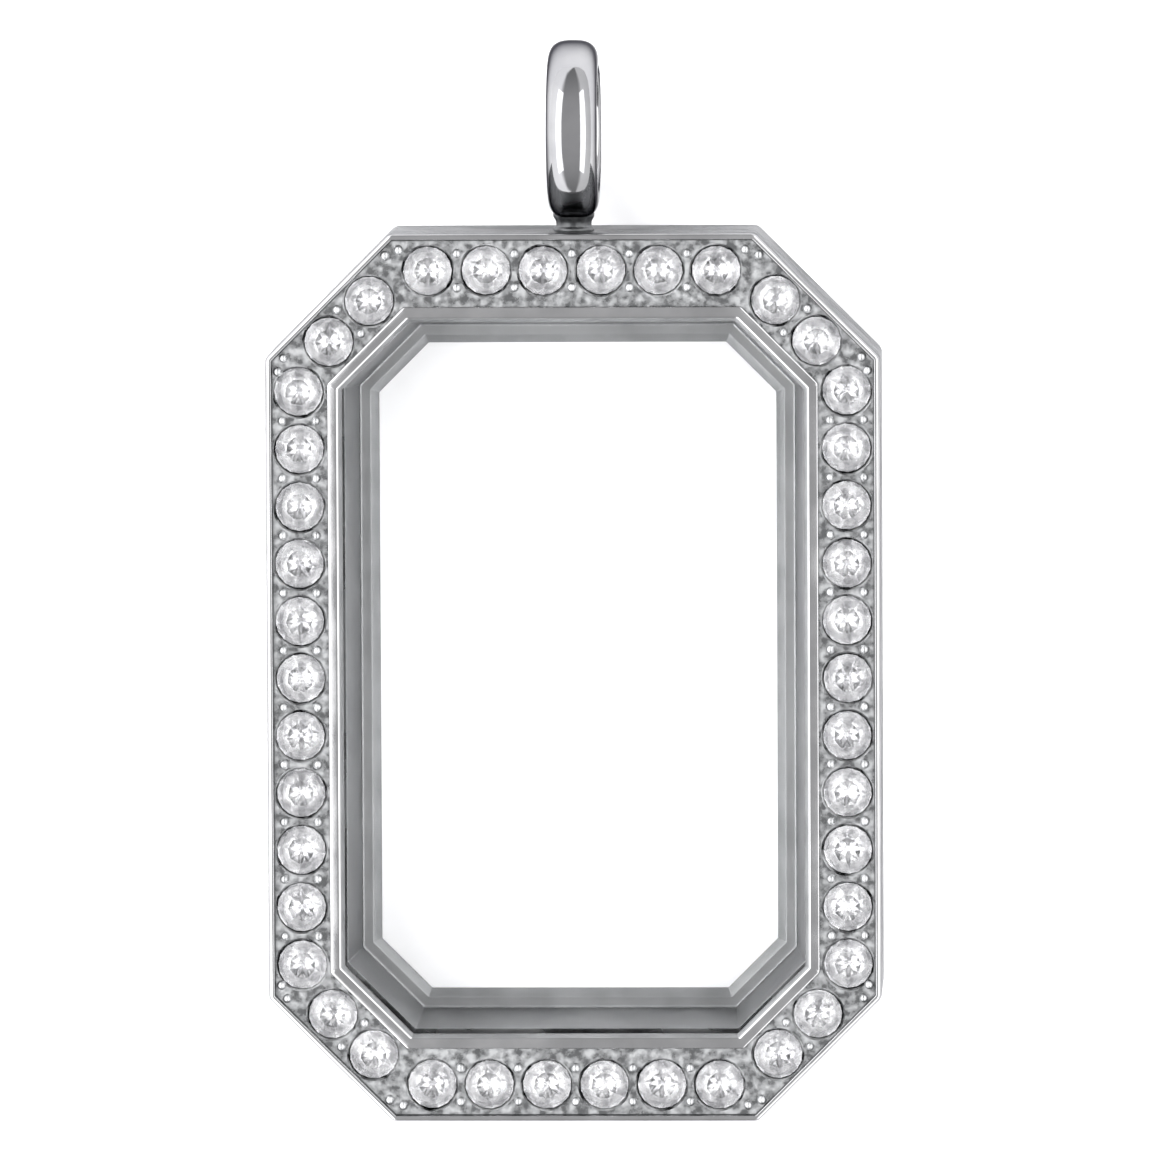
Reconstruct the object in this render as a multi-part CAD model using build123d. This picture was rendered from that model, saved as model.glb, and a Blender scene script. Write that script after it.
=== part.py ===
from build123d import *

import os
from math import cos, pi, sin, sqrt
from typing import NamedTuple

# A floating locket: an upright see-through case with cut corners and two glass
# windows. Its cover carries one row of round crystals and opens on a side hinge.
# The locket lies on its back: +X right, +Y to the bail, +Z out of the front.
# The origin is under the middle of the whole locket. All sizes are millimetres.

# Case
CASE_WIDTH = 25.3
CASE_HEIGHT = 36.7
CASE_DEPTH = 6.6
CORNER_CUT = 5.12
COVER_DEPTH = 1.95
PARTING_GAP = 0.05
OUTLINE_RADIUS = 0.4
BACK_EDGE_RADIUS = 0.35
RIM_EDGE_RADIUS = 0.16

# Crystals, each a round brilliant with a flat table and a pointed back
CRYSTAL_DIAMETER = 2.0
TABLE_DIAMETER = 1.1
CROWN_HEIGHT = 0.32
GIRDLE_HEIGHT = 0.06
PAVILION_DEPTH = 0.80
STAR_RADIUS = 0.80
STAR_HEIGHT = 0.215
PAVILION_BREAK_RADIUS = 0.42
PAVILION_BREAK_DEPTH = 0.565
CRYSTAL_SIDES = 8

# Channel and seats that hold the crystals
RIM_WIDTH = 0.30
CHANNEL_DEPTH = 0.22
SEAT_CLEARANCE = 0.04
SEAT_WALL = 0.18
SEAT_FLOOR_RADIUS = 0.25
SEAT_FLOOR_CLEARANCE = 0.05
SEAT_WEB = 0.288
SIDE_LAND_OUTSIDE = 0.04
SIDE_LAND_INSIDE = 0.13
END_LAND_OUTSIDE = 0.18
END_LAND_INSIDE = 0.46
GRAIN_RADIUS = 0.20
GRAIN_OFFSET = 0.70
CORNER_GRAIN_OFFSET = 0.80
CORNER_GRAIN_SPREAD = 0.30

# Lip, windows and glass
LIP_LAND = 0.42
LIP_BEVEL_WIDTH = 0.18
LIP_BEVEL_DEPTH = 0.20
LEDGE_HEIGHT = 0.50
LEDGE_WIDTH = 0.40
GLASS_THICKNESS = 0.60
GLASS_GAP = 0.03
GLASS_EDGE_GAP = 0.05
CAVITY_STEP = 0.04
CAVITY_TAPER = 0.41
FLANGE_LAND = 0.45
FLANGE_BEVEL_WIDTH = 0.35
FLANGE_BEVEL_DEPTH = 0.30
FLANGE_THICKNESS = 0.45

# Hinge at the left side, hidden below the cover's edge
HINGE_INSET = 0.60
HINGE_DROP = 0.60
PIN_RADIUS = 0.25
PIN_CLEARANCE = 0.03
KNUCKLE_RADIUS = 0.50
KNUCKLE_LENGTH = 2.60
KNUCKLE_GAP = 0.10
KNUCKLE_HEADROOM = 0.12
CASE_KNUCKLES = 2
HINGE_RELIEF_RADIUS = 1.12
WEB_BITE = 0.20

# Bail, a ring for the chain on a short neck with a stud in the case's top wall
BAIL_BORE_RADIUS = 2.50
BAIL_THICKNESS = 1.20
BAIL_WIDTH = 2.10
BAIL_OUTER_ROUND = 0.75
BAIL_INNER_ROUND = 0.30
NECK_RADIUS = 0.73
NECK_HEIGHT = 0.45
STUD_RADIUS = 0.50
STUD_LENGTH = 1.50
STUD_CLEARANCE = 0.03

# Heights above the floor that follow from the sizes
COVER_Z = CASE_DEPTH - COVER_DEPTH
PARTING_Z = COVER_Z - PARTING_GAP
CHANNEL_Z = CASE_DEPTH - CHANNEL_DEPTH
GIRDLE_Z = CHANNEL_Z - SEAT_WALL
REBATE_Z = CASE_DEPTH - LEDGE_HEIGHT
HINGE_Z = PARTING_Z - HINGE_DROP
HINGE_X = HINGE_INSET - CASE_WIDTH / 2

# Distances in from the case's outside
CRYSTAL_RADIUS = CRYSTAL_DIAMETER / 2
SEAT_RADIUS = CRYSTAL_RADIUS + SEAT_CLEARANCE
ROW_SIDE = RIM_WIDTH + SIDE_LAND_OUTSIDE + SEAT_RADIUS
ROW_END = RIM_WIDTH + END_LAND_OUTSIDE + SEAT_RADIUS
LIP_SIDE = ROW_SIDE + SEAT_RADIUS + SIDE_LAND_INSIDE
LIP_END = ROW_END + SEAT_RADIUS + END_LAND_INSIDE

# Distances in from the lip's outside
WINDOW_INSET = LIP_LAND + LIP_BEVEL_WIDTH
REBATE_INSET = WINDOW_INSET - LEDGE_WIDTH
CAVITY_TOP_INSET = WINDOW_INSET + CAVITY_STEP
CAVITY_FLOOR_INSET = CAVITY_TOP_INSET + CAVITY_TAPER
FLANGE_INSET = CAVITY_FLOOR_INSET + FLANGE_LAND
BACK_WINDOW_INSET = FLANGE_INSET + FLANGE_BEVEL_WIDTH

# Crystal rows keep this share of a seat's radius clear at each end
ROW_END_SHARE = 0.70
CORNER_END_SHARE = 1.50
CRYSTAL_PITCH = 2 * SEAT_RADIUS + SEAT_WEB

# The bail rests on the floor with the case
BAIL_RADIUS = BAIL_BORE_RADIUS + BAIL_THICKNESS
BAIL_Z = BAIL_RADIUS
BAIL_REACH = NECK_HEIGHT + 2 * BAIL_RADIUS
CASE_Y = -BAIL_REACH / 2
CASE_TOP_Y = CASE_Y + CASE_HEIGHT / 2
BAIL_Y = CASE_TOP_Y + NECK_HEIGHT + BAIL_RADIUS


class Outline(NamedTuple):
    """An upright rectangle with 45 degree corners, about the case's middle."""

    half_width: float
    half_height: float
    corner_distance: float

    def inset(self, side, end=None):
        """The same form moved in by side, and by end at the two short ends."""
        end = side if end is None else end
        return Outline(
            self.half_width - side,
            self.half_height - end,
            self.corner_distance - side,
        )

    def corners(self):
        """The eight corners, clockwise from the left end of the top edge."""
        leg = self.half_width + self.half_height - self.corner_distance * sqrt(2)
        w = self.half_width
        h = self.half_height
        return [
            (leg - w, h),
            (w - leg, h),
            (w, h - leg),
            (w, leg - h),
            (w - leg, -h),
            (leg - w, -h),
            (-w, leg - h),
            (-w, h - leg),
        ]


OUTER = Outline(
    CASE_WIDTH / 2,
    CASE_HEIGHT / 2,
    (CASE_WIDTH / 2 + CASE_HEIGHT / 2 - CORNER_CUT) / sqrt(2),
)
CHANNEL = OUTER.inset(RIM_WIDTH)
ROW = OUTER.inset(ROW_SIDE, ROW_END)
LIP = OUTER.inset(LIP_SIDE, LIP_END)


def plate(outline, low_z, high_z, corner_radius=0.0):
    """A straight block of an outline between two heights."""
    face = make_face(Polyline(*outline.corners(), close=True))
    if corner_radius > 0:
        face = fillet(face.vertices(), corner_radius)
    block = extrude(face, high_z - low_z)
    return Pos(0, CASE_Y, low_z) * block


def tapered(low_outline, low_z, high_outline, high_z):
    """A block whose outline changes evenly from one height to another."""
    sections = []
    for outline, z in ((low_outline, low_z), (high_outline, high_z)):
        face = make_face(Polyline(*outline.corners(), close=True))
        sections.append(Pos(0, CASE_Y, z) * face)
    return loft(sections, ruled=True)


def row_places(start, end, end_share):
    """Evenly spaced crystal centres along one straight run of the row."""
    run = Vector(end[0] - start[0], end[1] - start[1])
    room = run.length - 2 * end_share * SEAT_RADIUS
    count = int(room / CRYSTAL_PITCH) + 1
    middle = Vector(start[0] + end[0], start[1] + end[1]) / 2
    direction = run.normalized()
    first = middle - direction * (count - 1) * CRYSTAL_PITCH / 2
    return [first + direction * i * CRYSTAL_PITCH for i in range(count)]


def crystal_rows():
    """The eight runs of crystal centres, clockwise from the top run."""
    corners = ROW.corners()
    rows = []
    for i, start in enumerate(corners):
        end = corners[(i + 1) % len(corners)]
        share = ROW_END_SHARE if i % 2 == 0 else CORNER_END_SHARE
        rows.append(row_places(start, end, share))
    return rows


def grain_places(rows):
    """Centres of the raised grains: two in each gap, more at each corner."""
    places = []
    for row in rows:
        for a, b in zip(row, row[1:]):
            middle = (a + b) / 2
            outward = (b - a).normalized().rotate(Axis.Z, 90)
            places.append(middle + outward * GRAIN_OFFSET)
            places.append(middle - outward * GRAIN_OFFSET)
    corners = [Vector(*corner) for corner in ROW.corners()]
    for i, corner in enumerate(corners):
        before = (corner - corners[i - 1]).normalized()
        after = (corners[(i + 1) % len(corners)] - corner).normalized()
        along = (before + after).normalized()
        outward = along.rotate(Axis.Z, 90)
        for shift in (-CORNER_GRAIN_SPREAD, CORNER_GRAIN_SPREAD):
            places.append(corner + outward * CORNER_GRAIN_OFFSET + along * shift)
        places.append(corner - outward * GRAIN_OFFSET)
    seats = [seat for row in rows for seat in row]
    reach = SEAT_RADIUS + GRAIN_RADIUS / 2
    return [p for p in places if min((p - seat).length for seat in seats) > reach]


def crystal_seat():
    """The drilled seat of one crystal, with its top at the channel floor."""
    floor_depth = PAVILION_DEPTH + SEAT_FLOOR_CLEARANCE
    bore_height = SEAT_WALL + CASE_DEPTH - CHANNEL_Z
    bore = Pos(0, 0, GIRDLE_Z) * Cylinder(
        SEAT_RADIUS, bore_height, align=(Align.CENTER, Align.CENTER, Align.MIN)
    )
    cone = Pos(0, 0, GIRDLE_Z - floor_depth) * Cone(
        SEAT_FLOOR_RADIUS,
        SEAT_RADIUS,
        floor_depth,
        align=(Align.CENTER, Align.CENTER, Align.MIN),
    )
    return bore + cone


def ring_points(radius, z, count, start):
    """Points evenly round a circle, the first at start steps of a turn."""
    points = []
    for i in range(count):
        angle = 2 * pi * (i + start) / count
        points.append(Vector(radius * cos(angle), radius * sin(angle), z))
    return points


def crystal():
    """One round brilliant: table, stars, kites and halves, girdle, pavilion."""
    sides = CRYSTAL_SIDES
    girdle_top = GIRDLE_Z + GIRDLE_HEIGHT
    table_z = girdle_top + CROWN_HEIGHT
    table = ring_points(TABLE_DIAMETER / 2, table_z, sides, 0)
    stars = ring_points(STAR_RADIUS * CRYSTAL_RADIUS, GIRDLE_Z + STAR_HEIGHT, sides, 0.5)
    upper = ring_points(CRYSTAL_RADIUS, girdle_top, 2 * sides, 0)
    lower = ring_points(CRYSTAL_RADIUS, GIRDLE_Z, 2 * sides, 0)
    break_radius = PAVILION_BREAK_RADIUS * CRYSTAL_RADIUS
    breaks = ring_points(break_radius, GIRDLE_Z - PAVILION_BREAK_DEPTH, sides, 0.5)
    point = Vector(0, 0, GIRDLE_Z - PAVILION_DEPTH)

    outlines = [table]
    for i in range(sides):
        j = (i + 1) % sides
        even = 2 * i
        odd = 2 * i + 1
        after = (2 * i + 2) % (2 * sides)
        outlines.append([table[i], table[j], stars[i]])
        outlines.append([table[i], stars[i - 1], upper[even]])
        outlines.append([table[i], upper[even], stars[i]])
        outlines.append([stars[i], upper[even], upper[odd]])
        outlines.append([stars[i], upper[odd], upper[after]])
        outlines.append([upper[even], lower[even], lower[odd], upper[odd]])
        outlines.append([upper[odd], lower[odd], lower[after], upper[after]])
        outlines.append([lower[even], breaks[i], lower[odd]])
        outlines.append([lower[odd], breaks[i], lower[after]])
        outlines.append([lower[even], breaks[i - 1], point])
        outlines.append([lower[even], point, breaks[i]])
    faces = [Face(Wire.make_polygon(outline, close=True)) for outline in outlines]
    return Solid(Shell(faces))


def knuckle_places(own_case):
    """Centres along the hinge of the case's knuckles, or of the cover's."""
    count = 2 * CASE_KNUCKLES - 1
    step = KNUCKLE_LENGTH + KNUCKLE_GAP
    wanted = 0 if own_case else 1
    return [(i - (count - 1) / 2) * step for i in range(count) if i % 2 == wanted]


def along_hinge(radius, length, y):
    """A round bar on the hinge line, centred at y from the case's middle."""
    bar = Rot(90, 0, 0) * Cylinder(radius, length)
    return Pos(HINGE_X, CASE_Y + y, HINGE_Z) * bar


def case_knuckle(y):
    """A knuckle of the case and the web that carries it out of the relief."""
    web_length = HINGE_RELIEF_RADIUS + WEB_BITE
    web_low = -KNUCKLE_RADIUS
    web_high = HINGE_DROP - KNUCKLE_HEADROOM
    web = Box(web_length, KNUCKLE_LENGTH, web_high - web_low)
    middle_z = HINGE_Z + (web_high + web_low) / 2
    placed_web = Pos(HINGE_X + web_length / 2, CASE_Y + y, middle_z) * web
    return along_hinge(KNUCKLE_RADIUS, KNUCKLE_LENGTH, y) + placed_web


def cover_knuckle(y):
    """A knuckle of the cover and the web that hangs it below the cover."""
    web_height = COVER_Z - HINGE_Z + WEB_BITE
    web = Box(2 * KNUCKLE_RADIUS, KNUCKLE_LENGTH, web_height)
    placed_web = Pos(HINGE_X, CASE_Y + y, HINGE_Z + web_height / 2) * web
    return along_hinge(KNUCKLE_RADIUS, KNUCKLE_LENGTH, y) + placed_web


def hinge_length():
    """Length of the whole row of knuckles."""
    count = 2 * CASE_KNUCKLES - 1
    return count * KNUCKLE_LENGTH + (count - 1) * KNUCKLE_GAP


def neck_bar(radius, low_y, high_y):
    """A round bar on the bail's neck line, between two heights from the case's top."""
    bar = Rot(90, 0, 0) * Cylinder(radius, high_y - low_y)
    return Pos(0, CASE_TOP_Y + (low_y + high_y) / 2, BAIL_Z) * bar


def back_frame():
    """The case's back half: wall, cavity, window, hinge relief and knuckles."""
    block = plate(OUTER, 0, PARTING_Z, OUTLINE_RADIUS)
    back_edges = block.faces().sort_by(Axis.Z)[0].edges()
    block = fillet(back_edges, BACK_EDGE_RADIUS)
    block -= tapered(
        LIP.inset(CAVITY_FLOOR_INSET), FLANGE_THICKNESS, LIP.inset(CAVITY_TOP_INSET), PARTING_Z
    )
    block -= plate(LIP.inset(BACK_WINDOW_INSET), 0, FLANGE_THICKNESS)
    block -= tapered(
        LIP.inset(BACK_WINDOW_INSET),
        FLANGE_THICKNESS - FLANGE_BEVEL_DEPTH,
        LIP.inset(FLANGE_INSET),
        FLANGE_THICKNESS,
    )
    block -= along_hinge(HINGE_RELIEF_RADIUS, CASE_HEIGHT, 0)
    for y in knuckle_places(own_case=True):
        block += case_knuckle(y)
    block -= along_hinge(PIN_RADIUS + PIN_CLEARANCE, hinge_length(), 0)
    block -= neck_bar(STUD_RADIUS + STUD_CLEARANCE, -STUD_LENGTH - STUD_CLEARANCE, NECK_HEIGHT)
    return block


def front_frame(rows):
    """The cover: rim, channel with seats and grains, lip, window and knuckle."""
    block = plate(OUTER, COVER_Z, CASE_DEPTH, OUTLINE_RADIUS)
    rim_edges = block.faces().sort_by(Axis.Z)[-1].edges()
    block = fillet(rim_edges, RIM_EDGE_RADIUS)
    channel = plate(CHANNEL, CHANNEL_Z, CASE_DEPTH) - plate(LIP, CHANNEL_Z, CASE_DEPTH)
    block -= channel
    grains = [
        Pos(p.X, CASE_Y + p.Y, CHANNEL_Z) * Sphere(GRAIN_RADIUS) for p in grain_places(rows)
    ]
    block += grains
    seat = crystal_seat()
    block -= [Pos(p.X, CASE_Y + p.Y, 0) * seat for row in rows for p in row]
    block -= plate(LIP.inset(WINDOW_INSET), REBATE_Z, CASE_DEPTH)
    block -= tapered(
        LIP.inset(WINDOW_INSET), CASE_DEPTH - LIP_BEVEL_DEPTH, LIP.inset(LIP_LAND), CASE_DEPTH
    )
    block -= plate(LIP.inset(REBATE_INSET), COVER_Z, REBATE_Z)
    for y in knuckle_places(own_case=False):
        block += cover_knuckle(y)
    block -= along_hinge(PIN_RADIUS + PIN_CLEARANCE, hinge_length(), 0)
    return block


def front_glass():
    """The cover's window pane, bonded up against the ledge behind the lip."""
    top = REBATE_Z - GLASS_GAP
    return plate(LIP.inset(REBATE_INSET + GLASS_EDGE_GAP), top - GLASS_THICKNESS, top)


def back_glass():
    """The case's window pane, bonded down on the flange of the back window."""
    bottom = FLANGE_THICKNESS + GLASS_GAP
    return plate(LIP.inset(CAVITY_FLOOR_INSET + GLASS_EDGE_GAP), bottom, bottom + GLASS_THICKNESS)


def bail():
    """The chain ring, its neck and the stud that sits in the case's top wall."""
    section = Rectangle(BAIL_WIDTH, BAIL_THICKNESS)
    outer = section.vertices().group_by(Axis.Y)[-1]
    section = fillet(outer, BAIL_OUTER_ROUND)
    inner = section.vertices().group_by(Axis.Y)[0]
    section = fillet(inner, BAIL_INNER_ROUND)
    middle_radius = BAIL_BORE_RADIUS + BAIL_THICKNESS / 2
    ring = revolve(Pos(0, middle_radius, 0) * section, Axis.X)
    placed_ring = Pos(0, BAIL_Y, BAIL_Z) * ring
    neck = neck_bar(NECK_RADIUS, STUD_CLEARANCE, NECK_HEIGHT + BAIL_THICKNESS / 2)
    stud = neck_bar(STUD_RADIUS, -STUD_LENGTH, NECK_HEIGHT)
    return placed_ring + neck + stud


def hinge_pin():
    """The pin through all knuckles."""
    return along_hinge(PIN_RADIUS, hinge_length(), 0)


def main():
    """Build every piece and write it to its own file."""
    rows = crystal_rows()
    pieces = {
        "back_frame": back_frame(),
        "front_frame": front_frame(rows),
        "back_glass": back_glass(),
        "front_glass": front_glass(),
        "bail": bail(),
        "hinge_pin": hinge_pin(),
    }
    stone = crystal()
    number = 0
    for i, row in enumerate(rows):
        for place in row:
            number += 1
            turn = Rot(0, 0, -45 * i)
            pieces[f"crystal_{number:02d}"] = Pos(place.X, CASE_Y + place.Y, 0) * turn * stone
    os.makedirs("parts", exist_ok=True)
    for name, piece in pieces.items():
        export_step(piece, f"parts/{name}.step")


main()
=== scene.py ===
"""Dress a floating locket: a steel case with two windows and a border of crystals.

The locket lies on its back: +X right, +Y towards the bail, +Z out of the front
window. Shapes are worked out in millimetres and put into the meshes in metres.
"""

import logging
import math
from dataclasses import dataclass, field
from enum import Enum, IntEnum
from functools import cache

import bpy
import numpy as np
from mathutils import Matrix, Vector


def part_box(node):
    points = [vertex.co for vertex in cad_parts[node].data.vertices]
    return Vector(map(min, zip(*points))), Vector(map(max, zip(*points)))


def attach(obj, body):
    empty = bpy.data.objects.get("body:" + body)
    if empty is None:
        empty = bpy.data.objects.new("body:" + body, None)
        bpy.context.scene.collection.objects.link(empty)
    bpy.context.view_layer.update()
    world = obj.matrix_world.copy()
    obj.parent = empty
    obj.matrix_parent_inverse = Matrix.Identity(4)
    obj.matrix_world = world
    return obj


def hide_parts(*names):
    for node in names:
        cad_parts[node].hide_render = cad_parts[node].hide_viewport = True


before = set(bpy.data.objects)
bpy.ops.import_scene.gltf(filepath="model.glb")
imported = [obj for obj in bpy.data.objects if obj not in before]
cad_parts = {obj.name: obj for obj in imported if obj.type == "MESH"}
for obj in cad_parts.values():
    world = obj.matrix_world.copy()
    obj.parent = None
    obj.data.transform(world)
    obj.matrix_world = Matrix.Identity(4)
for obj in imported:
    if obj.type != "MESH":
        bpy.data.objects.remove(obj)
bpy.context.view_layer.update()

LOG = logging.getLogger("locket")
MM = 0.001
FULL_TURN = 2.0 * math.pi
# Creases that turn by more than this stay sharp.
CREASE = math.radians(38.0)
# How far a metal face's size counts in the shading beside it, so that flats stay flat.
FLAT_WEIGHT = 100


class Body(Enum):
    """The two bodies that the hinge joins."""

    CASE = "case"
    COVER = "cover"


class Slot(Enum):
    """The record's material slots that new pieces belong to."""

    STEEL = "polished_steel"
    CRYSTAL = "cut_crystal"


class Part(IntEnum):
    """Parts of the cover's metal, numbered as its finishes are."""

    RIM = 0
    FLOOR = 1
    CORNERS = 2
    GRAINS = 3
    WINDOW = 4
    SEATS = 5
    SIDES = 6


# Finishes


def linear(hex_colour: str) -> tuple[float, float, float, float]:
    """Turn an sRGB hex colour into linear red, green, blue and alpha.

    Args:
        hex_colour: Six hex digits, such as "C8C9CB".

    Returns:
        Linear channels from 0 to 1, with an alpha of 1.
    """
    channels = np.array([int(hex_colour[i : i + 2], 16) for i in (0, 2, 4)]) / 255.0
    high = ((channels + 0.055) / 1.055) ** 2.4
    red, green, blue = np.where(channels <= 0.04045, channels / 12.92, high)
    return (float(red), float(green), float(blue), 1.0)


def add_node(
    tree: bpy.types.NodeTree,
    kind: str,
    settings: dict | None = None,
    inputs: dict | None = None,
) -> bpy.types.Node:
    """Add one node with its settings, socket values and links.

    Args:
        tree: The node tree that gets the node.
        kind: Blender's name of the node's type.
        settings: Attributes to set on the node.
        inputs: Socket name or index to a value, or to an output socket to link.

    Returns:
        The new node.
    """
    node = tree.nodes.new(kind)
    for name, value in (settings or {}).items():
        setattr(node, name, value)
    for name, value in (inputs or {}).items():
        if isinstance(value, bpy.types.NodeSocket):
            tree.links.new(value, node.inputs[name])
        else:
            node.inputs[name].default_value = value
    return node


def mottle(
    tree: bpy.types.NodeTree,
    size_mm: float,
    detail: float = 2.0,
    stretch: tuple[float, float, float] | None = None,
) -> bpy.types.NodeSocket:
    """Noise on Object coordinates, with features of a real size.

    Args:
        tree: The material's node tree.
        size_mm: How large its features are; the scale is 1 over it, per metre.
        detail: How many finer layers it has.
        stretch: Scales that draw it out along an axis where they are small.

    Returns:
        The noise, from 0 to 1.
    """
    place = add_node(tree, "ShaderNodeTexCoord").outputs["Object"]
    if stretch:
        drawn = {"Vector": place, "Scale": stretch}
        place = add_node(tree, "ShaderNodeMapping", inputs=drawn).outputs[0]
    sized = {"Vector": place, "Scale": 1.0 / (size_mm * MM), "Detail": detail}
    return add_node(tree, "ShaderNodeTexNoise", inputs=sized).outputs[0]


@dataclass(frozen=True)
class Finish:
    """A named surface; each kind of finish wires its own Principled shader."""

    name: str

    def material(self) -> bpy.types.Material:
        """Make the finish's material on its first use, and find it again later.

        Returns:
            The material.
        """
        known = bpy.data.materials.get(self.name)
        if known:
            return known
        made = bpy.data.materials.new(self.name)
        made.use_nodes = True
        self.wire(made.node_tree, made.node_tree.nodes["Principled BSDF"])
        return made

    def wire(self, tree: bpy.types.NodeTree, shader: bpy.types.Node) -> None:
        """Set the shader's sockets and link its patterns.

        Args:
            tree: The material's node tree.
            shader: Its Principled shader.
        """
        raise NotImplementedError


@dataclass(frozen=True)
class SteelFinish(Finish):
    """Stainless steel: colour, the haze of its polish and its fine grain.

    The haze varies the roughness and the colour over haze_mm. The grain is a
    bump of grain_depth_mm with features grain_mm across, drawn out by stretch
    along the way the metal was worked. edge tints what is seen at a low angle.
    contrast is the span of the noise that runs from colour to shade.
    """

    colour: str
    shade: str
    roughness: tuple[float, float]
    haze_mm: float
    grain_mm: float
    grain_depth_mm: float
    stretch: tuple[float, float, float] = (1.0, 1.0, 1.0)
    edge: str = "FFFFFF"
    contrast: tuple[float, float] = (0.35, 0.65)

    def wire(self, tree: bpy.types.NodeTree, shader: bpy.types.Node) -> None:
        """Wire haze into colour and roughness, and grain into the bump.

        Args:
            tree: The material's node tree.
            shader: Its Principled shader.
        """
        haze = mottle(tree, self.haze_mm, detail=3.0)
        low, high = self.contrast
        spread = add_node(
            tree,
            "ShaderNodeMapRange",
            inputs={"Value": haze, "From Min": low, "From Max": high},
        ).outputs[0]
        gloss = {"To Min": self.roughness[0], "To Max": self.roughness[1]}
        rough = add_node(tree, "ShaderNodeMapRange", inputs={"Value": spread, **gloss})
        tint = add_node(
            tree,
            "ShaderNodeMix",
            settings={"data_type": "RGBA"},
            inputs={0: spread, 6: linear(self.shade), 7: linear(self.colour)},
        )
        grain = mottle(tree, self.grain_mm, stretch=self.stretch)
        relief = {"Height": grain, "Distance": self.grain_depth_mm * MM}
        bump = add_node(tree, "ShaderNodeBump", inputs=relief)
        shader.inputs["Metallic"].default_value = 1.0
        shader.inputs["Specular Tint"].default_value = linear(self.edge)
        tree.links.new(tint.outputs[2], shader.inputs["Base Color"])
        tree.links.new(rough.outputs[0], shader.inputs["Roughness"])
        tree.links.new(bump.outputs[0], shader.inputs["Normal"])


@dataclass(frozen=True)
class GlassFinish(Finish):
    """Clear glass: sharp refraction, and a trace of haze over haze_mm.

    A pane also has facing, the alpha seen face on and edge on, so that what
    lies behind it keeps its light. It changes over span, in shares of how far
    the facing angle has turned, with blend as its bias.
    """

    colour: str
    ior: float
    haze_mm: float
    detail: float
    roughness: tuple[float, float]
    facing: tuple[float, float] | None = None
    span: tuple[float, float] = (0.25, 0.90)
    blend: float = 0.3

    def wire(self, tree: bpy.types.NodeTree, shader: bpy.types.Node) -> None:
        """Set a clear transmission, and wire haze into the gloss.

        Args:
            tree: The material's node tree.
            shader: Its Principled shader.
        """
        haze = mottle(tree, self.haze_mm, self.detail)
        gloss = {"To Min": self.roughness[0], "To Max": self.roughness[1]}
        rough = add_node(tree, "ShaderNodeMapRange", inputs={"Value": haze, **gloss})
        if self.facing:
            bias = {"Blend": self.blend}
            angle = add_node(tree, "ShaderNodeLayerWeight", inputs=bias)
            ends = {
                "Value": angle.outputs["Facing"],
                "From Min": self.span[0],
                "From Max": self.span[1],
                "To Min": self.facing[0],
                "To Max": self.facing[1],
            }
            alpha = add_node(tree, "ShaderNodeMapRange", inputs=ends).outputs[0]
            tree.links.new(alpha, shader.inputs["Alpha"])
        shader.inputs["Base Color"].default_value = linear(self.colour)
        shader.inputs["IOR"].default_value = self.ior
        shader.inputs["Transmission Weight"].default_value = 1.0
        tree.links.new(rough.outputs[0], shader.inputs["Roughness"])


@dataclass(frozen=True)
class CardFinish(Finish):
    """Seamless white card: matt, with a faint fibre."""

    colour: str
    shade: str
    fibre_mm: float
    roughness: float = 0.9
    specular: float = 0.1

    def wire(self, tree: bpy.types.NodeTree, shader: bpy.types.Node) -> None:
        """Wire a faint fibre pattern into the colour.

        Args:
            tree: The material's node tree.
            shader: Its Principled shader.
        """
        fibre = mottle(tree, self.fibre_mm)
        tint = add_node(
            tree,
            "ShaderNodeMix",
            settings={"data_type": "RGBA"},
            inputs={0: fibre, 6: linear(self.shade), 7: linear(self.colour)},
        )
        tree.links.new(tint.outputs[2], shader.inputs["Base Color"])
        shader.inputs["Roughness"].default_value = self.roughness
        shader.inputs["Specular IOR Level"].default_value = self.specular


# Buffed stainless steel: bright, neutral grey, with soft polishing haze.
BUFFED_STEEL = SteelFinish(
    "buffed stainless steel", "9E9E9F", "929293", (0.10, 0.18), 2.2, 0.12, 0.0005,
    edge="5C5D5F",
)
# Mirror-polished stainless steel on the bail: dark and sharp, so that the long
# softboxes stand in it as two white bands.
MIRROR_STEEL = SteelFinish(
    "mirror stainless steel", "939394", "88888A", (0.05, 0.10), 2.2, 0.12, 0.0004,
    edge="6E6E70",
)
# Brushed stainless steel on the sides and where the cover meets the case, with fine
# lines along them; its darker colour is painted shade, so that a white room leaves
# them grey.
SHADED_BRUSHED_STEEL = SteelFinish(
    "brushed stainless steel with painted shade", "808182", "747576", (0.20, 0.32), 2.2, 0.08, 0.0012,
    stretch=(0.12, 0.12, 1.0), edge="A0A0A2",
)
# Satin stainless steel on the inner walls: the cutter's fine upright lines and
# the dull low angles keep the floor's light out of them, and its colour, darker
# than the buffed steel's, is painted shade for the window's well.
SHADED_SATIN_STEEL = SteelFinish(
    "satin stainless steel with painted shade", "8D8E8F", "818283", (0.34, 0.46), 1.6, 0.10, 0.0010,
    stretch=(1.0, 1.0, 0.2), edge="D8D8D9",
)
# Graved stainless steel in the channel: small tool marks scatter the light.
GRAVED_STEEL = SteelFinish(
    "graved stainless steel", "A2A3A4", "666768", (0.22, 0.42), 0.35, 0.13, 0.018
)
# Dull stainless steel in the channel's corners and on the bail's neck, which no
# polishing wheel reaches; its dark colour is painted shade in these corners and
# crevices, and draws a dark line along the border.
SHADED_DULL_STEEL = SteelFinish(
    "dull stainless steel with painted shade", "6A6B6C", "434445", (0.35, 0.55), 0.4, 0.10, 0.004
)
# Stainless steel in the drilled seats, bright with dark patches of painted shadow
# from the gap round each stone: they draw broken dark arcs round the stones.
SEAT_SHADOW_STEEL = SteelFinish(
    "seat steel with painted shadow", "A6A7A8", "1A1B1C", (0.25, 0.50), 0.9, 0.10, 0.004
)
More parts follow.
